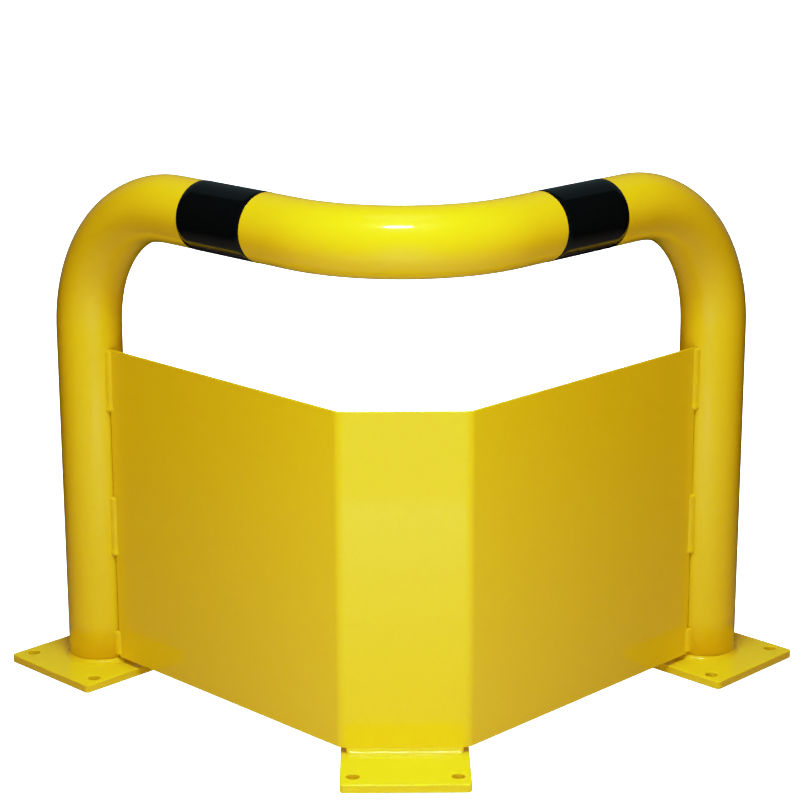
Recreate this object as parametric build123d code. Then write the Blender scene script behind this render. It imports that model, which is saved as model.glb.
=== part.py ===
from build123d import *
import os
from math import cos, radians, sin, sqrt, tan

# Corner protection guard for a rack or a machine: one bent steel tube hoop on two legs,
# welded to foot plates, with a folded sheet panel that closes the space below the hoop.
#
# Units are millimetres. +Z is up, the guard's front corner points along -Y, and left is -X.
# The origin lies on the floor under the middle of the guard's bounding box.

# ---------------------------------------------------------------- driving dimensions

# Hoop: round tube, two legs, two arms that meet at the front corner, equal bends.
TUBE_DIAMETER = 76.1
TUBE_WALL = 3.0
LEG_SPACING = 724.0  # between the two leg axes
HOOP_TOP = 610.0  # floor to the top of the tube
BEND_RADIUS = 160.0  # centreline radius of all three bends

# Leg foot plates: square to the arms, centred on the legs.
PLATE_THICKNESS = 10.0
PLATE_CORNER_RADIUS = 5.0
PLATE_EDGE_ROUNDING = 1.0
ANCHOR_HOLE_DIAMETER = 14.0
LEG_PLATE_ALONG_ARM = 145.0
LEG_PLATE_ACROSS_ARM = 160.0
LEG_HOLE_SPACING = 116.0  # both ways

# Front foot plate: square to the guard, under the panel's front facet.
FRONT_PLATE_WIDTH = 140.0
FRONT_PLATE_DEPTH = 160.0
FRONT_PLATE_REACH = 384.0  # leg line to the plate's front edge
FRONT_HOLE_SPACING_X = 112.0
FRONT_HOLE_SPACING_Y = 116.0

# Underrun panel: one sheet, a front facet and two wings that run to the legs.
SHEET_THICKNESS = 3.0
PANEL_BOTTOM = 16.0
PANEL_TOP = 394.0
FACET_WIDTH = 140.0  # between the outer fold lines
FOLD_INNER_RADIUS = 12.0
WING_OFFSET = 7.5  # wing's front face, outside the plane of leg and arm
SEAM_GAP = 0.7  # leg surface to the wing's end, at its nearest

# Welds. A stitch bead's axis lies under the leg's surface, so that only its crown stands out.
STITCH_BEAD_RADIUS = 5.0
STITCH_BEAD_DEPTH = 3.0  # leg surface to the bead's axis
STITCH_BEAD_ANGLE = 13.0  # round the leg, from the arm's direction to the outside
STITCH_SPANS = {"lower": (17.0, 50.0), "middle": (145.0, 217.0), "upper": (321.0, 394.0)}
FOOT_WELD_WIDTH = 7.0
FOOT_WELD_HEIGHT = 6.0
FRONT_WELD_LENGTH = 127.0
FRONT_WELD_TOE = 7.0  # reach on the plate, in front of the facet
FRONT_WELD_RISE = 1.5  # height on the facet, above the sheet's lower edge

# Black bands: film wrapped round the middle of each arm's straight part.
BAND_WIDTH = 100.0
BAND_THICKNESS = 0.3

# ---------------------------------------------------------------- derived dimensions

TUBE_RADIUS = TUBE_DIAMETER / 2
HALF_SPACING = LEG_SPACING / 2
ARM_HEIGHT = HOOP_TOP - TUBE_RADIUS
DIAGONAL = cos(radians(45))  # the arms leave the legs at 45 degrees to X and Y

# A leg plate's rounded corner points straight back and is the guard's rearmost point.
PLATE_CORNER_REACH = (
    (LEG_PLATE_ALONG_ARM + LEG_PLATE_ACROSS_ARM) / 2 - 2 * PLATE_CORNER_RADIUS
) * DIAGONAL + PLATE_CORNER_RADIUS
LEG_Y = (FRONT_PLATE_REACH - PLATE_CORNER_REACH) / 2

LEFT_LEG = Vector(-HALF_SPACING, LEG_Y, 0)
ALONG_ARM = Vector(DIAGONAL, -DIAGONAL, 0)  # from the left leg to the front corner
OUTWARD = Vector(-DIAGONAL, -DIAGONAL, 0)  # square to the left arm, to the outside

ARM_LENGTH = HALF_SPACING / DIAGONAL  # leg axis to the corner where the arm axes cross
STRAIGHT_START = BEND_RADIUS
STRAIGHT_END = ARM_LENGTH - BEND_RADIUS * tan(radians(45))
BAND_START = (STRAIGHT_START + STRAIGHT_END - BAND_WIDTH) / 2

FACET_Y = LEG_Y - HALF_SPACING + FACET_WIDTH / 2 - WING_OFFSET * sqrt(2)
FRONT_PLATE_Y = LEG_Y - FRONT_PLATE_REACH + FRONT_PLATE_DEPTH / 2

STANDING = (Align.CENTER, Align.CENTER, Align.MIN)  # a solid centred on Z, its base at zero


def beside_left_leg(along, outward, height=0.0):
    """A point given by its distances along and outside the left arm's vertical plane."""
    return LEFT_LEG + ALONG_ARM * along + OUTWARD * outward + Vector(0, 0, height)


def mirrored(solid):
    """The same piece on the right-hand side."""
    return mirror(solid, about=Plane.YZ)


# ---------------------------------------------------------------- hoop and foot plates


def hoop_tube():
    """One tube: up the left leg, along both arms and down the right leg."""
    corners = [
        (-HALF_SPACING, LEG_Y, PLATE_THICKNESS),
        (-HALF_SPACING, LEG_Y, ARM_HEIGHT),
        (0, LEG_Y - HALF_SPACING, ARM_HEIGHT),
        (HALF_SPACING, LEG_Y, ARM_HEIGHT),
        (HALF_SPACING, LEG_Y, PLATE_THICKNESS),
    ]
    route = FilletPolyline(*corners, radius=BEND_RADIUS)
    section = Circle(TUBE_RADIUS) - Circle(TUBE_RADIUS - TUBE_WALL)
    start = Plane(origin=corners[0], z_dir=(0, 0, 1))
    return sweep(start * section, path=route)


def foot_plate(size_x, size_y, hole_spacing_x, hole_spacing_y):
    """A plate on the floor with four anchor holes and its top edge rounded."""
    outline = RectangleRounded(size_x, size_y, PLATE_CORNER_RADIUS)
    plate = extrude(outline, amount=PLATE_THICKNESS)
    rim = plate.faces().sort_by(Axis.Z)[-1].edges()
    plate = fillet(rim, radius=PLATE_EDGE_ROUNDING)
    hole = Cylinder(ANCHOR_HOLE_DIAMETER / 2, PLATE_THICKNESS, align=STANDING)
    return plate - GridLocations(hole_spacing_x, hole_spacing_y, 2, 2) * hole


def left_foot_plate():
    """The plate under the left leg, turned square to the arm."""
    plate = foot_plate(
        LEG_PLATE_ALONG_ARM, LEG_PLATE_ACROSS_ARM, LEG_HOLE_SPACING, LEG_HOLE_SPACING
    )
    return Pos(LEFT_LEG) * Rot(0, 0, -45) * plate


def front_foot_plate():
    """The plate under the panel's front facet."""
    plate = foot_plate(
        FRONT_PLATE_WIDTH, FRONT_PLATE_DEPTH, FRONT_HOLE_SPACING_X, FRONT_HOLE_SPACING_Y
    )
    return Pos(0, FRONT_PLATE_Y, 0) * plate


# ---------------------------------------------------------------- underrun panel


def sheet_face_points(depth):
    """Plan corners of the sheet's face at a depth behind the front face, left to right."""
    wing_end = beside_left_leg(TUBE_RADIUS + SEAM_GAP, WING_OFFSET - depth)
    fold_x = FACET_WIDTH / 2 - depth * tan(radians(22.5))
    face_y = FACET_Y + depth
    return [
        (wing_end.X, wing_end.Y),
        (-fold_x, face_y),
        (fold_x, face_y),
        (-wing_end.X, wing_end.Y),
    ]


def underrun_panel():
    """The folded sheet: both faces' plan lines, closed at the wing ends and raised."""
    front = sheet_face_points(0)
    back = sheet_face_points(SHEET_THICKNESS)
    outline = [
        FilletPolyline(*front, radius=FOLD_INNER_RADIUS + SHEET_THICKNESS),
        FilletPolyline(*back, radius=FOLD_INNER_RADIUS),
        Line(front[0], back[0]),
        Line(front[-1], back[-1]),
    ]
    edges = [edge for line in outline for edge in line.edges()]
    sheet = Face(Wire(edges))
    return Pos(0, 0, PANEL_BOTTOM) * extrude(sheet, amount=PANEL_TOP - PANEL_BOTTOM, dir=(0, 0, 1))


# ---------------------------------------------------------------- welds


def stitch_weld(bottom, top, panel):
    """A round-ended bead in the seam between the left leg and the end of the wing."""
    reach = TUBE_RADIUS - STITCH_BEAD_DEPTH
    angle = radians(STITCH_BEAD_ANGLE)
    seam = beside_left_leg(reach * cos(angle), reach * sin(angle))
    low = bottom + STITCH_BEAD_RADIUS
    high = top - STITCH_BEAD_RADIUS
    core = Cylinder(STITCH_BEAD_RADIUS, high - low, align=STANDING)
    bead = Pos(seam.X, seam.Y, low) * core
    bead += Pos(seam.X, seam.Y, low) * Sphere(STITCH_BEAD_RADIUS)
    bead += Pos(seam.X, seam.Y, high) * Sphere(STITCH_BEAD_RADIUS)
    leg = Pos(LEFT_LEG) * Cylinder(TUBE_RADIUS, HOOP_TOP, align=STANDING)
    return bead - leg - panel


def left_foot_weld():
    """The fillet weld all round the foot of the left leg."""
    section = Polygon(
        (TUBE_RADIUS, PLATE_THICKNESS),
        (TUBE_RADIUS + FOOT_WELD_WIDTH, PLATE_THICKNESS),
        (TUBE_RADIUS, PLATE_THICKNESS + FOOT_WELD_HEIGHT),
        align=None,
    )
    ring = revolve(Plane.XZ * section, axis=Axis.Z)
    return Pos(LEFT_LEG) * ring


def front_foot_weld():
    """The bead that fills the gap under the front facet and joins it to its plate."""
    section = Polygon(
        (FACET_Y + SHEET_THICKNESS, PLATE_THICKNESS),
        (FACET_Y - FRONT_WELD_TOE, PLATE_THICKNESS),
        (FACET_Y, PANEL_BOTTOM + FRONT_WELD_RISE),
        (FACET_Y, PANEL_BOTTOM),
        (FACET_Y + SHEET_THICKNESS, PANEL_BOTTOM),
        align=None,
    )
    return extrude(Plane.YZ * section, amount=FRONT_WELD_LENGTH / 2, both=True)


# ---------------------------------------------------------------- bands


def left_black_band():
    """A sleeve of film on the straight part of the left arm."""
    ring = Circle(TUBE_RADIUS + BAND_THICKNESS) - Circle(TUBE_RADIUS)
    start = Plane(origin=beside_left_leg(BAND_START, 0, ARM_HEIGHT), z_dir=ALONG_ARM)
    return extrude(start * ring, amount=BAND_WIDTH)


# ---------------------------------------------------------------- assembly


def guard_pieces():
    """Every piece of the guard, by the name of its node."""
    panel = underrun_panel()
    left_pieces = {
        "foot_plate": left_foot_plate(),
        "foot_weld": left_foot_weld(),
        "black_band": left_black_band(),
    }
    for place, (bottom, top) in STITCH_SPANS.items():
        left_pieces[f"{place}_stitch_weld"] = stitch_weld(bottom, top, panel)

    pieces = {
        "hoop_tube": hoop_tube(),
        "underrun_panel": panel,
        "front_foot_plate": front_foot_plate(),
        "front_foot_weld": front_foot_weld(),
    }
    for name, solid in left_pieces.items():
        pieces[f"left_{name}"] = solid
        pieces[f"right_{name}"] = mirrored(solid)
    return pieces


os.makedirs("parts", exist_ok=True)
for name, solid in guard_pieces().items():
    solid.label = name
    export_step(solid, f"parts/{name}.step")
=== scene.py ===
"""Looks for the corner protection guard: welded steel in glossy yellow powder coat, black film bands.

Every piece is rebuilt here as a finer mesh in the place of its CAD node. Metres, +Z up, the guard's
front corner points along -Y, and left is -X.
"""

import math

import bmesh
import bpy
from mathutils import Matrix, Vector, noise


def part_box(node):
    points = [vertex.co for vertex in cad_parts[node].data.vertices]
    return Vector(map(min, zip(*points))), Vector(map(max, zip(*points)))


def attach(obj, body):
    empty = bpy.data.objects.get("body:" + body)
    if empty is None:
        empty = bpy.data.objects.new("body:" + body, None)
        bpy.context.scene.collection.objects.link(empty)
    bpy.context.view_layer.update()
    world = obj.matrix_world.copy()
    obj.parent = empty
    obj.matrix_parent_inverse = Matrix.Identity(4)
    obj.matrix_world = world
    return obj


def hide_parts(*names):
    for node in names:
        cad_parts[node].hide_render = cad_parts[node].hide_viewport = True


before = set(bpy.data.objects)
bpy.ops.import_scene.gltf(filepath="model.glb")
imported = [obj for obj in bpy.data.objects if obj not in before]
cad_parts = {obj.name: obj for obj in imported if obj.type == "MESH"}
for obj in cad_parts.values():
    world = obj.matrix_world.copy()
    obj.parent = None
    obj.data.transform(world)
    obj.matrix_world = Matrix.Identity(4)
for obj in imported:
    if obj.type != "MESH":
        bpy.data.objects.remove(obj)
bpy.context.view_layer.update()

# ---------------------------------------------------------------- driving dimensions

TUBE_RADIUS = 0.03805
BEND_RADIUS = 0.160  # to the tube's middle, in all three bends
SHEET_THICKNESS = 0.003
FACET_WIDTH = 0.140  # between the outer fold lines
FOLD_ANGLE = math.radians(45)
FOLD_OUTER_RADIUS = 0.015
LEG_PLATE_SIZE = (0.145, 0.160)  # along and across the arm
LEG_HOLE_SPACING = (0.116, 0.116)
FRONT_HOLE_SPACING = (0.112, 0.116)
ANCHOR_HOLE_RADIUS = 0.007
PLATE_CORNER_RADIUS = 0.005
FOOT_WELD_WIDTH = 0.007
FOOT_WELD_HEIGHT = 0.006
BAND_WIDTH = 0.100
BAND_THICKNESS = 0.0003

# Rounding that the powder coat leaves on cut edges. The sheet's ends are rounded in plan by a little
# more, because the edge rounding is taken off their radius.
PLATE_EDGE_ROUNDING = 0.0012
SHEET_EDGE_ROUNDING = 0.0012
SHEET_END_RADIUS = 0.0014

# ---------------------------------------------------------------- places, from the frame

SIDES = ((-1, "left"), (1, "right"))
DIAGONAL = math.sqrt(0.5)
UP = Vector((0, 0, 1))

hoop_low, hoop_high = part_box("hoop_tube")
panel_low, panel_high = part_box("underrun_panel")
foot_weld_low, foot_weld_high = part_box("left_foot_weld")
LEG_X = (foot_weld_low.x + foot_weld_high.x) / -2
LEG_Y = (foot_weld_low.y + foot_weld_high.y) / 2
ARM_LENGTH = LEG_X / DIAGONAL  # from a leg's middle to where the two arms would meet
PLATE_TOP = hoop_low.z
ARM_Z = hoop_high.z - TUBE_RADIUS
FACET_Y = panel_low.y


def side_frame(side):
    """A side's leg foot, the arm's direction from it and the direction outside; side is -1 or 1."""
    leg = Vector((side * LEG_X, LEG_Y, 0))
    along = Vector((-side * DIAGONAL, -DIAGONAL, 0))
    outward = Vector((side * DIAGONAL, -DIAGONAL, 0))
    return leg, along, outward


def smoothstep(low, high, value):
    """0 up to low and 1 from high, with a smooth rise between them."""
    share = min(max((value - low) / (high - low), 0.0), 1.0)
    return share * share * (3 - 2 * share)


# ---------------------------------------------------------------- mesh building

PIECES = []  # all the guard's pieces, in the order of making


def new_piece(name, mesh, material, node):
    """Puts a finished mesh in the scene as the piece that stands for a CAD node."""
    piece = bpy.data.objects.new(name, mesh)
    bpy.context.scene.collection.objects.link(piece)
    mesh.materials.append(material)
    for polygon in mesh.polygons:
        polygon.use_smooth = True
    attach(piece, "root")
    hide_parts(node)
    PIECES.append(piece)
    return piece


def loft(name, sections, ring=False):
    """A closed skin over sections of equal point count: capped at both ends, or joined into a ring."""
    mesh = bpy.data.meshes.new(name)
    form = bmesh.new()
    rows = [[form.verts.new(point) for point in section] for section in sections]
    pairs = list(zip(rows, rows[1:]))
    if ring:
        pairs.append((rows[-1], rows[0]))
    for lower, upper in pairs:
        for i in range(len(lower)):
            form.faces.new((lower[i - 1], lower[i], upper[i], upper[i - 1]))
    if not ring:
        form.faces.new(reversed(rows[0]))
        form.faces.new(rows[-1])
    bmesh.ops.recalc_face_normals(form, faces=form.faces)
    form.to_mesh(mesh)
    form.free()
    return mesh


def rounded_outline(corners, step=math.radians(6)):
    """A closed outline in plan. Each corner is (point, radius), and its round is an arc."""
    outline = []
    for i, (corner, radius) in enumerate(corners):
        back = (corners[i - 1][0] - corner).normalized()
        ahead = (corners[(i + 1) % len(corners)][0] - corner).normalized()
        half = back.angle(ahead) / 2
        centre = corner + (back + ahead).normalized() * radius / math.sin(half)
        first = corner + back * radius / math.tan(half) - centre
        last = corner + ahead * radius / math.tan(half) - centre
        turn = last.angle_signed(first)
        count = max(2, round(abs(turn) / step))
        start = math.atan2(first.y, first.x)
        for k in range(count + 1):
            angle = start + turn * k / count
            outline.append(centre + radius * Vector((math.cos(angle), math.sin(angle))))
    return outline


def circle_outline(centre, radius, count=48):
    """Points round a circle in plan."""
    angles = [2 * math.pi * k / count for k in range(count)]
    return [centre + radius * Vector((math.cos(a), math.sin(a))) for a in angles]


def cut_from_sheet(name, loops, bottom, top, rounding):
    """A mesh of even thickness with rounded edges, cut to a plan outline and its holes."""
    curve = bpy.data.curves.new(name, "CURVE")
    curve.dimensions = "2D"
    curve.fill_mode = "BOTH"
    curve.extrude = (top - bottom) / 2 - rounding
    curve.bevel_depth = rounding
    curve.bevel_resolution = 4
    curve.offset = -rounding
    for loop in loops:
        spline = curve.splines.new("POLY")
        spline.points.add(len(loop) - 1)
        for point, place in zip(spline.points, loop):
            point.co = (place.x, place.y, 0, 1)
        spline.use_cyclic_u = True
    holder = bpy.data.objects.new(name, curve)
    mesh = bpy.data.meshes.new_from_object(holder)
    bpy.data.objects.remove(holder)
    bpy.data.curves.remove(curve)
    mesh.materials.clear()
    mesh.transform(Matrix.Translation((0, 0, (bottom + top) / 2)))
    weld_seams(mesh)
    return mesh


def weld_seams(mesh, distance=1e-6):
    """Joins the rims that a curve leaves open between its flat faces and its edges."""
    form = bmesh.new()
    form.from_mesh(mesh)
    bmesh.ops.remove_doubles(form, verts=form.verts, dist=distance)
    bmesh.ops.recalc_face_normals(form, faces=form.faces)
    form.to_mesh(mesh)
    form.free()


def keep_flats_flat(piece):
    """Smooth shading that leaves the wide flat faces flat and turns only at the rounded edges."""
    weighted = piece.modifiers.new("flat_faces", "WEIGHTED_NORMAL")
    weighted.mode = "FACE_AREA"
    weighted.weight = 100


# ---------------------------------------------------------------- materials

# How far the painted crevice shade looks for surfaces that shut a place in.
CREVICE_WIDTH = 0.014


def new_material(name):
    """A material, its node tree and its shader."""
    material = bpy.data.materials.new(name)
    material.use_nodes = True
    tree = material.node_tree
    return material, tree, tree.nodes["Principled BSDF"]


def noise_value(tree, scale, detail):
    """Noise in the piece's own space. The scale is in waves to the metre."""
    place = tree.nodes.new("ShaderNodeTexCoord")
    grain = tree.nodes.new("ShaderNodeTexNoise")
    grain.inputs["Scale"].default_value = scale
    grain.inputs["Detail"].default_value = detail
    tree.links.new(place.outputs["Object"], grain.inputs["Vector"])
    return grain.outputs["Fac"]


def ramp_colour(tree, value, stops):
    """The colour for a value between two stops, each (value, colour)."""
    ramp = tree.nodes.new("ShaderNodeValToRGB")
    for element, (position, colour) in zip(ramp.color_ramp.elements, stops):
        element.position = position
        element.color = (*colour, 1)
    tree.links.new(value, ramp.inputs["Fac"])
    return ramp.outputs["Color"]


def range_value(tree, value, results, values=(0.0, 1.0)):
    """Maps a value from one range to another."""
    mapped = tree.nodes.new("ShaderNodeMapRange")
    mapped.inputs["From Min"].default_value = values[0]
    mapped.inputs["From Max"].default_value = values[1]
    mapped.inputs["To Min"].default_value = results[0]
    mapped.inputs["To Max"].default_value = results[1]
    tree.links.new(value, mapped.inputs["Value"])
    return mapped.outputs["Result"]


def bump_normal(tree, height, strength, distance):
    """The surface's normal, tilted by a height from 0 to 1 that stands for this distance."""
    bump = tree.nodes.new("ShaderNodeBump")
    bump.inputs["Strength"].default_value = strength
    bump.inputs["Distance"].default_value = distance
    tree.links.new(height, bump.inputs["Height"])
    return bump.outputs["Normal"]


def painted_crevice_shade(tree, colour):
    """Painted shade: the colour darkened in crevices and holes, where little light gets in.

    The less open the surface is within a crevice's width, the less of the colour is left.
    """
    reach = tree.nodes.new("ShaderNodeAmbientOcclusion")
    reach.samples = 8
    reach.inputs["Distance"].default_value = CREVICE_WIDTH
    # The occlusion value scales the colour down: painted shade in shut-in places.
    unshaded_share = range_value(tree, reach.outputs["AO"], (0.04, 1.0), values=(0.05, 0.50))
    shaded = tree.nodes.new("ShaderNodeVectorMath")
    shaded.operation = "SCALE"
    tree.links.new(colour, shaded.inputs[0])
    tree.links.new(unshaded_share, shaded.inputs["Scale"])
    return shaded.outputs["Vector"]


def powder_coat():
    """Glossy signal-yellow powder coat: faint orange peel, slight unevenness in tone and gloss, and
    painted shade in crevices.
    """
    material, tree, shader = new_material("yellow_powder_coat")
    grain = noise_value(tree, scale=160, detail=2)
    stops = ((0.25, (0.793, 0.543, 0.0065)), (0.75, (0.807, 0.557, 0.0080)))
    # The base colour carries painted shade in crevices and holes.
    tone = painted_crevice_shade(tree, ramp_colour(tree, grain, stops))
    gloss = range_value(tree, grain, (0.30, 0.36))
    peel = bump_normal(tree, grain, strength=0.3, distance=0.00004)
    tree.links.new(tone, shader.inputs["Base Color"])
    tree.links.new(gloss, shader.inputs["Roughness"])
    tree.links.new(peel, shader.inputs["Normal"])
    tree.links.new(peel, shader.inputs["Coat Normal"])
    shader.inputs["Specular IOR Level"].default_value = 0.07
    shader.inputs["Coat Weight"].default_value = 0.9
    shader.inputs["Coat Roughness"].default_value = 0.07
    shader.inputs["Coat IOR"].default_value = 1.45
    return material


def black_film():
    """Glossy black adhesive film, with the faint waviness of film drawn round a tube."""
    material, tree, shader = new_material("black_band")
    haze = noise_value(tree, scale=30, detail=4)
    stops = ((0, (0.0016, 0.0022, 0.0026)), (1, (0.0026, 0.0034, 0.0038)))
    tone = ramp_colour(tree, haze, stops)
    gloss = range_value(tree, haze, (0.09, 0.14))
    wave = noise_value(tree, scale=120, detail=1)
    waviness = bump_normal(tree, wave, strength=0.25, distance=0.00006)
    tree.links.new(tone, shader.inputs["Base Color"])
    tree.links.new(gloss, shader.inputs["Roughness"])
    tree.links.new(waviness, shader.inputs["Normal"])
    shader.inputs["Specular Tint"].default_value = (0.40, 0.56, 0.62, 1)
    return material


YELLOW = powder_coat()
BLACK = black_film()

# ---------------------------------------------------------------- hoop

# In the upright bends the wall has moved in, most on the inside of the bend, and the sides have moved
# out. The front bend is left round.
FLATTENING_OUTSIDE = 0.0011
FLATTENING_INSIDE = 0.0029
BEND_WIDENING = 0.0006
BEND_EASE = 0.3  # the share of a bend over which this comes in, and over which it goes again

STRAIGHT_STEPS = 8
UPRIGHT_BEND_STEPS = 40
HALF_FRONT_BEND_STEPS = 18
HALF_FRONT_BEND_TURN = math.radians(45)
TUBE_POINTS = 120


def half_hoop_stations():
    """Stations from the left foot to the middle of the front bend.

    Each is (centre, outward, upward, bend): two directions across the tube, and how deep the station
    is in the upright bend, from 0 at its ends to 1.
    """
    leg, along, outward = side_frame(-1)
    leg_end = ARM_Z - BEND_RADIUS
    arm_end = ARM_LENGTH - BEND_RADIUS
    stations = []
    for k in range(STRAIGHT_STEPS + 1):
        height = PLATE_TOP + (leg_end - PLATE_TOP) * k / STRAIGHT_STEPS
        stations.append((leg + UP * height, outward, -along, 0.0))
    for k in range(1, UPRIGHT_BEND_STEPS + 1):
        share = k / UPRIGHT_BEND_STEPS
        angle = share * math.pi / 2
        centre = leg + UP * (leg_end + BEND_RADIUS * math.sin(angle))
        centre += along * BEND_RADIUS * (1 - math.cos(angle))
        upward = UP * math.sin(angle) - along * math.cos(angle)
        depth = smoothstep(0, BEND_EASE, share) * smoothstep(0, BEND_EASE, 1 - share)
        stations.append((centre, outward, upward, depth))
    for k in range(1, STRAIGHT_STEPS + 1):
        reach = BEND_RADIUS + (arm_end - BEND_RADIUS) * k / STRAIGHT_STEPS
        stations.append((leg + along * reach + UP * ARM_Z, outward, UP, 0.0))
    pivot = Vector((0, LEG_Y - LEG_X + BEND_RADIUS / DIAGONAL, ARM_Z))
    for k in range(1, HALF_FRONT_BEND_STEPS + 1):
        angle = HALF_FRONT_BEND_TURN * (1 - k / HALF_FRONT_BEND_STEPS)
        radial = Vector((-math.sin(angle), -math.cos(angle), 0))
        stations.append((pivot + radial * BEND_RADIUS, radial, UP, 0.0))
    return stations


def tube_section(centre, outward, upward, bend):
    """Points round the tube, flattened where it is bent."""
    section = []
    for k in range(TUBE_POINTS):
        angle = 2 * math.pi * k / TUBE_POINTS
        across, rise = math.cos(angle), math.sin(angle)
        flattening = FLATTENING_OUTSIDE if rise > 0 else FLATTENING_INSIDE
        section.append(
            centre
            + outward * across * (TUBE_RADIUS + BEND_WIDENING * bend)
            + upward * rise * (TUBE_RADIUS - flattening * bend)
        )
    return section


def mirrored(section):
    """The same section on the guard's other side."""
    return [Vector((-point.x, point.y, point.z)) for point in section]


def build_hoop():
    """The bent tube: the left half, the middle section once, and the left half mirrored."""
    half = [tube_section(*station) for station in half_hoop_stations()]
    other_half = [mirrored(section) for section in reversed(half[:-1])]
    new_piece("hoop", loft("hoop", half + other_half), YELLOW, "hoop_tube")


# ---------------------------------------------------------------- foot plates


def plate_loops(centre, x_axis, size, hole_spacing):
    """A plate's outline and its four anchor holes, in plan, turned so that its width follows x_axis."""
    y_axis = Vector((-x_axis.y, x_axis.x))
    quarters = [(-1, -1), (1, -1), (1, 1), (-1, 1)]

    def four_spots(spread):
        """The corners of a rectangle round the plate's middle, of this width and depth."""
        half_x, half_y = spread[0] / 2, spread[1] / 2
        return [centre + x_axis * (sx * half_x) + y_axis * (sy * half_y) for sx, sy in quarters]

    outline = rounded_outline([(spot, PLATE_CORNER_RADIUS) for spot in four_spots(size)])
    holes = [circle_outline(spot, ANCHOR_HOLE_RADIUS) for spot in four_spots(hole_spacing)]
    return [outline] + holes


def build_plate(name, node, loops):
    """A plate of its CAD node's thickness, cut to the loops."""
    low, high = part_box(node)
    mesh = cut_from_sheet(name, loops, low.z, high.z, PLATE_EDGE_ROUNDING)
    keep_flats_flat(new_piece(name, mesh, YELLOW, node))


def build_plates():
    """The two leg plates, which are turned to follow the arms, and the front plate, which is square."""
    for side, word in SIDES:
        leg, along, _ = side_frame(side)
        loops = plate_loops(leg.xy, along.xy, LEG_PLATE_SIZE, LEG_HOLE_SPACING)
        build_plate(f"{word}_leg_plate", f"{word}_foot_plate", loops)
    low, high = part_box("front_foot_plate")
    size = high - low
    centre = (low + high) / 2
    loops = plate_loops(centre.xy, Vector((1, 0)), size.xy, FRONT_HOLE_SPACING)
    build_plate("front_plate", "front_foot_plate", loops)


# ---------------------------------------------------------------- underrun panel

# Each side's seam: the gap at the panel's top and at its bottom, and how far outside the plane of
# leg and arm the end of the wing's front face stands.
SEAM_GAPS = {-1: (0.0012, 0.0020), 1: (0.0014, 0.0008)}
WING_END_OFFSETS = {-1: 0.0050, 1: 0.0072}
LEAST_GAP = min(min(gaps) for gaps in SEAM_GAPS.values())


def panel_face_line(depth, fold_radius):
    """Corners of the front face's line in plan, or of the back face's at the sheet's full depth."""
    ends = []
    for side, _ in SIDES:
        leg, along, outward = side_frame(side)
        end = leg + along * (TUBE_RADIUS + LEAST_GAP) + outward * (WING_END_OFFSETS[side] - depth)
        ends.append((end.xy, SHEET_END_RADIUS))
    fold_x = FACET_WIDTH / 2 - depth * math.tan(FOLD_ANGLE / 2)
    folds = [(Vector((side * fold_x, FACET_Y + depth)), fold_radius) for side, _ in SIDES]
    return [ends[0], *folds, ends[1]]


def open_seams(mesh):
    """Moves the wings' ends from the least gap to each side's own, which changes down the leg."""
    for side, (top_gap, bottom_gap) in SEAM_GAPS.items():
        leg, along, _ = side_frame(side)
        for vertex in mesh.vertices:
            reach = (vertex.co - leg).dot(along)
            if vertex.co.x * side > 0 and reach < TUBE_RADIUS + SHEET_THICKNESS:
                drop = (panel_high.z - vertex.co.z) / (panel_high.z - panel_low.z)
                vertex.co += along * (top_gap - LEAST_GAP + (bottom_gap - top_gap) * drop)


def build_panel():
    """The folded sheet: a front facet and two wings. The left seam opens downwards, the right closes."""
    front = panel_face_line(0, FOLD_OUTER_RADIUS)
    back = panel_face_line(SHEET_THICKNESS, FOLD_OUTER_RADIUS - SHEET_THICKNESS)
    outline = rounded_outline(front + back[::-1], step=math.radians(3))
    mesh = cut_from_sheet("panel", [outline], panel_low.z, panel_high.z, SHEET_EDGE_ROUNDING)
    open_seams(mesh)
    piece = new_piece("panel", mesh, YELLOW, "underrun_panel")
    keep_flats_flat(piece)


# ---------------------------------------------------------------- welds

RIPPLE_PITCH = 0.0026
RIPPLE_HEIGHT = 0.00012
BURY = 0.0004  # how far a bead's edges reach into the metal beside it
FACE_STEPS = 14  # across a bead's face

# The stitch welds, in the corner of leg and wing.
LEG_TOE = 0.0036  # how far a bead spreads over the leg, from the seam
WING_TOE = 0.0054  # and over the wing
STITCH_CROWN = 0.0010
STITCH_NOSE = 0.0035
STITCH_STEP = 0.0004
STITCH_UNEVENNESS = 0.10

# The middle and upper ones run down past their CAD solids and end below in a blob.
STITCH_RUN_DOWN = 0.004
BLOB_SWELL = 0.25  # the share by which it is wider and thicker than the bead
BLOB_HEIGHT = 0.0045  # of its middle above the bead's end
BLOB_SPREAD = 0.0035

# The fillet welds at the feet. Fullness is 0 for a hollow face, 1 for a straight one.
FOOT_WELD_STEPS = 480
FOOT_WELD_FULLNESS = 0.25
FOOT_WELD_UNEVENNESS = 0.08
WIDTH_LUMPS, HEIGHT_LUMPS = 2.1, 1.7  # how quickly its width and height vary round the leg
FOOT_WELD_MIDDLE = 1.1 * TUBE_RADIUS  # the radius that its scales are spaced along

FRONT_WELD_STEPS = 420
FRONT_WELD_FULLNESS = 0.2
FRONT_WELD_UNEVENNESS = 0.10
FRONT_WELD_NOSE = 0.004
FRONT_WELD_BACK_INSET = 0.0006  # how far its flat back stands in from the CAD solid's
FRONT_WELD_END_HEIGHT = 0.8  # the share of its height that is left at its ends


def uneven(distance, waves, seed, track):
    """Smooth noise about 0 at a distance along a bead, with this many waves to the metre.

    Another seed gives another bead's noise, and another track is for something else that varies.
    """
    return noise.noise(Vector((distance * waves, seed, track)))


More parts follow.
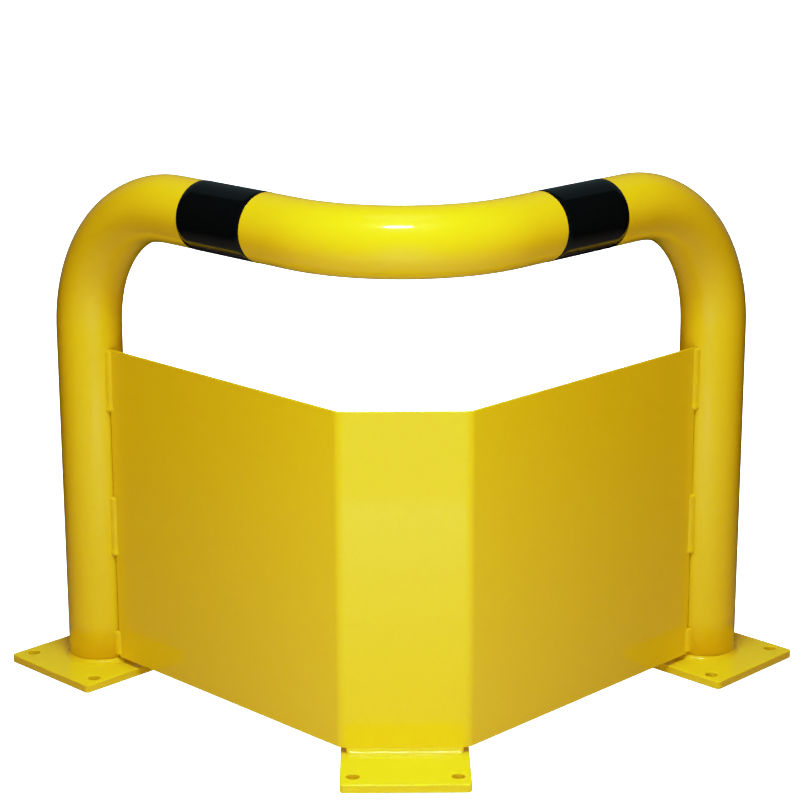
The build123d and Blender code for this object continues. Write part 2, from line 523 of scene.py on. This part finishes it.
def ripple(distance, seed):
    """The height of a weld's scales at a distance along it: faint uneven scallops under the paint."""
    wander = 1.4 * uneven(distance, 160, seed, track=0)
    scale = abs(math.sin(math.pi * (distance / RIPPLE_PITCH + wander)))
    strength = 0.5 + 0.5 * uneven(distance, 40, seed, track=2)
    swell = 2 * uneven(distance, 55, seed, track=5)
    mean_scale = 0.6
    return RIPPLE_HEIGHT * ((scale - mean_scale) * strength + swell)


def fillet_face(fullness):
    """A fillet's face, as (reach, rise, fade) from (0, 1) down to (1, 0).

    It is hollow at fullness 0 and straight at 1. fade is 1 in its middle and 0 at both toes.
    """
    points = []
    for k in range(FACE_STEPS + 1):
        turn = math.pi / 2 * k / FACE_STEPS
        hollow = Vector((1 - math.cos(turn), 1 - math.sin(turn)))
        straight = Vector((k / FACE_STEPS, 1 - k / FACE_STEPS))
        reach, rise = hollow.lerp(straight, fullness)
        points.append((reach, rise, math.sin(math.pi * k / FACE_STEPS)))
    return points


def end_taper(distance, length):
    """1 along a bead, falling as a round nose over its last stretch to a blunt end."""
    share = min(max(distance / length, 0), 1)
    blunt_end = 0.03
    return math.sqrt(max(1 - (1 - share) ** 2, blunt_end**2))


def stitch_bead(side, low, high, seed, blob):
    """Sections of a fillet in the corner of leg and wing, from low to high.

    blob is the share by which it swells near its lower end.
    """
    leg, along, outward = side_frame(side)
    wing_face = WING_END_OFFSETS[side]
    corner_angle = math.asin(wing_face / TUBE_RADIUS)
    inner = TUBE_RADIUS - BURY
    sections = []
    steps = round((high - low) / STITCH_STEP)
    for k in range(steps + 1):
        z = low + (high - low) * k / steps
        taper = end_taper(min(z - low, high - z), STITCH_NOSE)
        swell = taper * (1 + blob * math.exp(-(((z - low - BLOB_HEIGHT) / BLOB_SPREAD) ** 2)))
        swell *= 1 + STITCH_UNEVENNESS * uneven(z, 38, seed, track=9)

        on_leg = corner_angle + LEG_TOE * swell / TUBE_RADIUS
        leg_toe = (along * math.cos(on_leg) + outward * math.sin(on_leg)) * inner
        corner = (along * math.cos(corner_angle) + outward * math.sin(corner_angle)) * inner
        wing_reach = TUBE_RADIUS + min(SEAM_GAPS[side]) + WING_TOE * swell
        wing_toe = along * wing_reach + outward * (wing_face - BURY)
        across = wing_toe - leg_toe
        bulge = Vector((across.y, -across.x, 0)).normalized()
        if bulge.dot(outward) < 0:
            bulge.negate()

        face = []
        for i in range(FACE_STEPS + 1):
            share = i / FACE_STEPS
            crown = (STITCH_CROWN * swell + ripple(z, seed) * taper) * math.sin(math.pi * share)
            face.append(leg_toe + across * share + bulge * crown)
        sections.append([leg + UP * z + point for point in face + [corner]])
    return sections


def build_stitch_welds():
    """Three beads down each seam."""
    for side, word in SIDES:
        for k, level in enumerate(("lower", "middle", "upper")):
            node = f"{word}_{level}_stitch_weld"
            low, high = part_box(node)
            blob, run_down = (0, 0) if level == "lower" else (BLOB_SWELL, STITCH_RUN_DOWN)
            seed = 3 * side + k
            sections = stitch_bead(side, low.z - run_down, high.z, seed, blob)
            name = f"{word}_{level}_bead"
            new_piece(name, loft(name, sections), YELLOW, node)


def build_foot_welds():
    """The hollow fillet weld round each leg's foot."""
    profile = fillet_face(FOOT_WELD_FULLNESS)
    inner = TUBE_RADIUS - BURY
    base = PLATE_TOP - BURY
    for side, word in SIDES:
        leg, _, _ = side_frame(side)
        sections = []
        for k in range(FOOT_WELD_STEPS):
            turn = 2 * math.pi * k / FOOT_WELD_STEPS
            radial = Vector((math.cos(turn), math.sin(turn), 0))
            around = radial + UP * side
            widening = noise.noise(around * WIDTH_LUMPS)
            heightening = noise.noise(around * HEIGHT_LUMPS + UP * 7)
            width = (FOOT_WELD_WIDTH + BURY) * (1 + FOOT_WELD_UNEVENNESS * widening)
            height = (FOOT_WELD_HEIGHT + BURY) * (1 + FOOT_WELD_UNEVENNESS * heightening)
            scales = ripple(turn * FOOT_WELD_MIDDLE, side)
            section = [leg + radial * inner + UP * base]
            for reach, rise, fade in profile:
                out = inner + width * reach + scales * fade
                up = base + height * rise + scales * fade
                section.append(leg + radial * out + UP * up)
            sections.append(section)
        name = f"{word}_foot_bead"
        mesh = loft(name, sections, ring=True)
        new_piece(name, mesh, YELLOW, f"{word}_foot_weld")


def build_front_weld():
    """The hollow fillet along the facet's lower edge, which fills the gap down to the plate."""
    low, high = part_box("front_foot_weld")
    profile = fillet_face(FRONT_WELD_FULLNESS)
    back = high.y - FRONT_WELD_BACK_INSET
    base = PLATE_TOP - BURY
    sections = []
    for k in range(FRONT_WELD_STEPS + 1):
        x = low.x + (high.x - low.x) * k / FRONT_WELD_STEPS
        taper = end_taper(min(x - low.x, high.x - x), FRONT_WELD_NOSE)
        width = (FACET_Y - low.y + BURY) * taper
        width *= 1 + FRONT_WELD_UNEVENNESS * uneven(x, 60, seed=1, track=3)
        height = high.z - PLATE_TOP + BURY
        height *= FRONT_WELD_END_HEIGHT + (1 - FRONT_WELD_END_HEIGHT) * taper
        scales = ripple(x, seed=40) * taper
        section = [Vector((x, back, base)), Vector((x, back, panel_low.z + BURY / 2))]
        for reach, rise, fade in profile:
            out = FACET_Y + BURY - width * reach - scales * fade
            section.append(Vector((x, out, base + height * rise + scales * fade)))
        sections.append(section)
    mesh = loft("front_bead", sections)
    new_piece("front_bead", mesh, YELLOW, "front_foot_weld")


# ---------------------------------------------------------------- bands

BAND_POINTS = 240
BAND_STEPS = 12
BAND_SEAT = 0.0001  # how far the film's inner face lies under the tube's skin
BAND_EDGE = 0.0002
# The film's rounded edge, as (share of BAND_EDGE, share of its thickness).
BAND_EDGE_ROUND = ((0.0, 0.15), (0.4, 0.7), (1.0, 1.0))

# The film's ends lap here, as angles round the arm from its outside, upwards being 90 degrees.
LAP_START = math.radians(205)
LAP_WIDTH = math.radians(22)
LAP_EASE = 0.06
LAP_RISE = 0.6  # how much thicker the lap is than the film


def band_profile():
    """The film's thickness across its width, as (reach, share of its thickness)."""
    first_edge = [(BAND_EDGE * at, share) for at, share in BAND_EDGE_ROUND]
    middle = [(BAND_WIDTH * k / BAND_STEPS, 1.0) for k in range(1, BAND_STEPS)]
    last_edge = [(BAND_WIDTH - reach, share) for reach, share in reversed(first_edge)]
    return first_edge + middle + last_edge


def lap_share(angle):
    """1 where the film's ends lap, 0 elsewhere, with a soft step between."""
    into_lap = (angle - LAP_START) / LAP_WIDTH
    return smoothstep(0, LAP_EASE, into_lap) * smoothstep(0, LAP_EASE, 1 - into_lap)


def build_bands():
    """Film round each arm. Its ends lap at the back, below, where the second layer stands up a step."""
    start = (ARM_LENGTH - BAND_WIDTH) / 2
    for side, word in SIDES:
        leg, along, outward = side_frame(side)
        outer, inner = [], []
        for reach, share in band_profile():
            centre = leg + along * (start + reach) + UP * ARM_Z
            ring_out, ring_in = [], []
            for k in range(BAND_POINTS):
                angle = 2 * math.pi * k / BAND_POINTS
                radial = outward * math.cos(angle) + UP * math.sin(angle)
                thickness = BAND_THICKNESS * share * (1 + LAP_RISE * lap_share(angle))
                ring_out.append(centre + radial * (TUBE_RADIUS + thickness))
                ring_in.append(centre + radial * (TUBE_RADIUS - BAND_SEAT))
            outer.append(ring_out)
            inner.append(ring_in)
        name = f"{word}_band"
        mesh = loft(name, outer + inner[::-1], ring=True)
        new_piece(name, mesh, BLACK, f"{word}_black_band")


# ---------------------------------------------------------------- studio

STUDIO_RADIUS = 40
LAMP_AIM = Vector((0, -0.05, 0.32))  # the guard's middle
KEY_PLACE = (0, -1.36, 2.67)

WHITE = (1, 1, 1)
COOL = (0.92, 1, 0.95)
WARM = (1, 0.93, 0.85)
LIME = (0.95, 1, 0.8)
SKY = (0.5, 1, 2.2)
PALE_BLUE = (0.65, 0.95, 1)
AMBER = (1, 0.3, 0.03)

# Each lamp's name, place, diameter, power and colour, and which pieces it lights. The plates get a
# cooler fill, and a small low lamp at the rear in place of the large one, whose light would leak
# under the panel. The rear lamps are there for the guard's back.
LAMPS = (
    ("key", KEY_PLACE, 0.4, 14, COOL, "all"),
    ("overhead", (0, -0.8, 1.95), 1.0, 26, COOL, "all"),
    ("near_fill", (0, -0.7, 1.3), 0.4, 0.9, WHITE, "all"),
    ("front", (0, -1.0, 0.4), 0.5, 2.2, WHITE, "all"),
    ("floor_glow", (0, -1.1, 0.12), 0.5, 3.1, WARM, "all"),
    ("left", (-1.5, -1.0, 0.4), 0.7, 2.9, LIME, "all"),
    ("right", (1.5, -1.0, 0.4), 0.7, 2.0, LIME, "all"),
    ("behind", (0, 1.3, 2.2), 1.0, 1.6, WHITE, "all"),
    ("plate_fill", (0, -0.5, 2.3), 0.8, 16, SKY, "plates"),
    ("rear", (0, 2.3, 1.1), 1.2, 34, COOL, "others"),
    ("rear_low", (0, 2.3, 0.3), 0.5, 14, COOL, "plates"),
)


def link_stage(name, mesh, material):
    """Puts a piece of the studio in the scene."""
    mesh.materials.append(material)
    piece = bpy.data.objects.new(name, mesh)
    bpy.context.scene.collection.objects.link(piece)
    return piece


def disc_mesh(name, radius, centre=(0, 0, 0), stretch=1):
    """A level disc, which can be stretched along X."""
    mesh = bpy.data.meshes.new(name)
    form = bmesh.new()
    place = Matrix.Translation(centre) @ Matrix.Diagonal((stretch, 1, 1, 1))
    bmesh.ops.create_circle(form, cap_ends=True, segments=96, radius=radius, matrix=place)
    form.to_mesh(mesh)
    form.free()
    return mesh


def dome_mesh(name, radius):
    """A whole sphere round the origin."""
    mesh = bpy.data.meshes.new(name)
    form = bmesh.new()
    bmesh.ops.create_uvsphere(form, u_segments=48, v_segments=24, radius=radius)
    form.to_mesh(mesh)
    form.free()
    return mesh


def wall_mesh(name, y, half_width, height):
    """An upright wall behind the guard, from the floor up."""
    mesh = bpy.data.meshes.new(name)
    lower = [(-half_width, y, 0), (half_width, y, 0)]
    upper = [(half_width, y, height), (-half_width, y, height)]
    mesh.from_pydata(lower + upper, [], [(0, 1, 2, 3)])
    return mesh


def stage_paint(name):
    """A black material with no gloss, its node tree and its shader."""
    material, tree, shader = new_material(name)
    shader.inputs["Base Color"].default_value = (0, 0, 0, 1)
    shader.inputs["Roughness"].default_value = 0.9
    shader.inputs["Specular IOR Level"].default_value = 0.0
    return material, tree, shader


def glow_paint(name, colour, strength):
    """Even light of one colour, which no lamp changes."""
    material, _, shader = stage_paint(name)
    shader.inputs["Emission Color"].default_value = (*colour, 1)
    shader.inputs["Emission Strength"].default_value = strength
    return material


def grey_with_painted_pool(name, bright, radius):
    """Matt grey that darkens away from its piece's origin: a painted pool of light, as on a floor round
    a lamp's spot.
    """
    material, tree, shader = stage_paint(name)
    place = tree.nodes.new("ShaderNodeTexCoord")
    reach = tree.nodes.new("ShaderNodeVectorMath")
    reach.operation = "LENGTH"
    tree.links.new(place.outputs["Object"], reach.inputs[0])
    # The base colour is painted as a pool of light, bright in the middle and dark at the rim.
    fade = range_value(tree, reach.outputs["Value"], (bright, 0.0), values=(0.15 * radius, radius))
    tree.links.new(fade, shader.inputs["Base Color"])
    return material


def show_only_to(piece, *kinds):
    """Hides a piece of the studio from every kind of ray but these."""
    for kind in ("camera", "diffuse", "glossy", "transmission", "shadow"):
        setattr(piece, "visible_" + kind, kind in kinds)


def soft_light(name, place, size, power, colour):
    """A round soft light aimed at the guard. The gloss doesn't show it: it mirrors the stage alone."""
    light = bpy.data.lights.new(name, "AREA")
    light.shape = "DISK"
    light.size = size
    light.energy = power
    light.color = colour
    lamp = bpy.data.objects.new(name, light)
    lamp.location = place
    aim = LAMP_AIM - Vector(place)
    lamp.rotation_euler = aim.to_track_quat("-Z", "Y").to_euler()
    lamp.visible_glossy = False
    bpy.context.scene.collection.objects.link(lamp)
    return lamp


def light_only(lamp, pieces):
    """Limits a lamp to some of the pieces."""
    group = bpy.data.collections.new(lamp.name + "_receivers")
    for piece in pieces:
        group.objects.link(piece)
    lamp.light_linking.receiver_collection = group


def build_backdrop():
    """A white floor and dome. The camera alone sees them, so they neither light nor shade anything."""
    white = glow_paint("studio_white", WHITE, 3)
    floor = disc_mesh("floor", STUDIO_RADIUS)
    dome = dome_mesh("backdrop", STUDIO_RADIUS)
    for name, mesh in (("floor", floor), ("backdrop", dome)):
        show_only_to(link_stage(name, mesh, white), "camera")


def build_surroundings():
    """What the guard mirrors: a grey floor, which also throws light back up, and three glowing cards."""
    pool = disc_mesh("floor_bounce", radius=1.8, centre=(0, 0, -0.001))
    # The grey floor carries a painted pool of light, brightest round y = -0.8.
    pool = link_stage("floor_bounce", pool, grey_with_painted_pool("studio_grey_painted_pool", bright=0.55, radius=1.7))
    pool.location.y = -0.8
    show_only_to(pool, "diffuse", "glossy")

    wall = wall_mesh("wall", y=2.5, half_width=3, height=4)
    ceiling = disc_mesh("ceiling", radius=0.45, centre=(0, 0, 2.5))
    softbox = disc_mesh("softbox", radius=0.2, centre=(-0.11, *KEY_PLACE[1:]), stretch=1.6)
    cards = (
        ("wall", wall, PALE_BLUE, 0.09),
        ("ceiling", ceiling, WHITE, 0.6),
        ("softbox", softbox, WHITE, 45),
    )
    for name, mesh, colour, glow in cards:
        paint = glow_paint("studio_" + name, colour, glow)
        show_only_to(link_stage(name, mesh, paint), "glossy")


def build_lamps():
    """The soft lights in LAMPS, in that order."""
    plates = [piece for piece in PIECES if piece.name.endswith("_plate")]
    groups = {"plates": plates, "others": [piece for piece in PIECES if piece not in plates]}
    for name, place, size, power, colour, lit in LAMPS:
        lamp = soft_light(name, place, size, power, colour)
        if lit in groups:
            light_only(lamp, groups[lit])


def build_world():
    """Faint amber light from all round, which warms the shadows. The gloss doesn't mirror it."""
    world = bpy.data.worlds.new("studio")
    bpy.context.scene.world = world
    world.use_nodes = True
    background = world.node_tree.nodes["Background"]
    background.inputs["Color"].default_value = (*AMBER, 1)
    background.inputs["Strength"].default_value = 0.2
    world.cycles_visibility.glossy = False


def build_camera():
    """About a metre up and 2.5 m in front, close to the guard's middle plane, looking down at it."""
    camera = bpy.data.cameras.new("camera")
    camera.lens = 106.5
    camera.clip_end = 5 * STUDIO_RADIUS
    eye = bpy.data.objects.new("camera", camera)
    bpy.context.scene.collection.objects.link(eye)
    place = Vector((-0.0241, -2.5311, 1.0629))
    down = math.radians(15.489)
    right = math.radians(0.474)
    roll = math.radians(-0.143)
    aim = Matrix.Rotation(-right, 4, "Z") @ Matrix.Rotation(math.pi / 2 - down, 4, "X")
    eye.matrix_world = Matrix.Translation(place) @ aim @ Matrix.Rotation(roll, 4, "Z")
    bpy.context.scene.camera = eye


def build_print_look():
    """Plain colours, with a shoulder that holds bright red back, as saturated yellow prints."""
    view = bpy.context.scene.view_settings
    view.view_transform = "Standard"
    view.use_curve_mapping = True
    red = view.curve_mapping.curves[0]
    for level, shown in ((0.25, 0.25), (0.5, 0.5), (0.8, 0.71)):
        red.points.new(level, shown)
    red.points[-1].location = (1.0, 0.8)
    view.curve_mapping.update()


build_hoop()
build_plates()
build_panel()
build_stitch_welds()
build_foot_welds()
build_front_weld()
build_bands()
build_backdrop()
build_surroundings()
build_lamps()
build_world()
build_camera()
build_print_look()

bpy.context.view_layer.update()
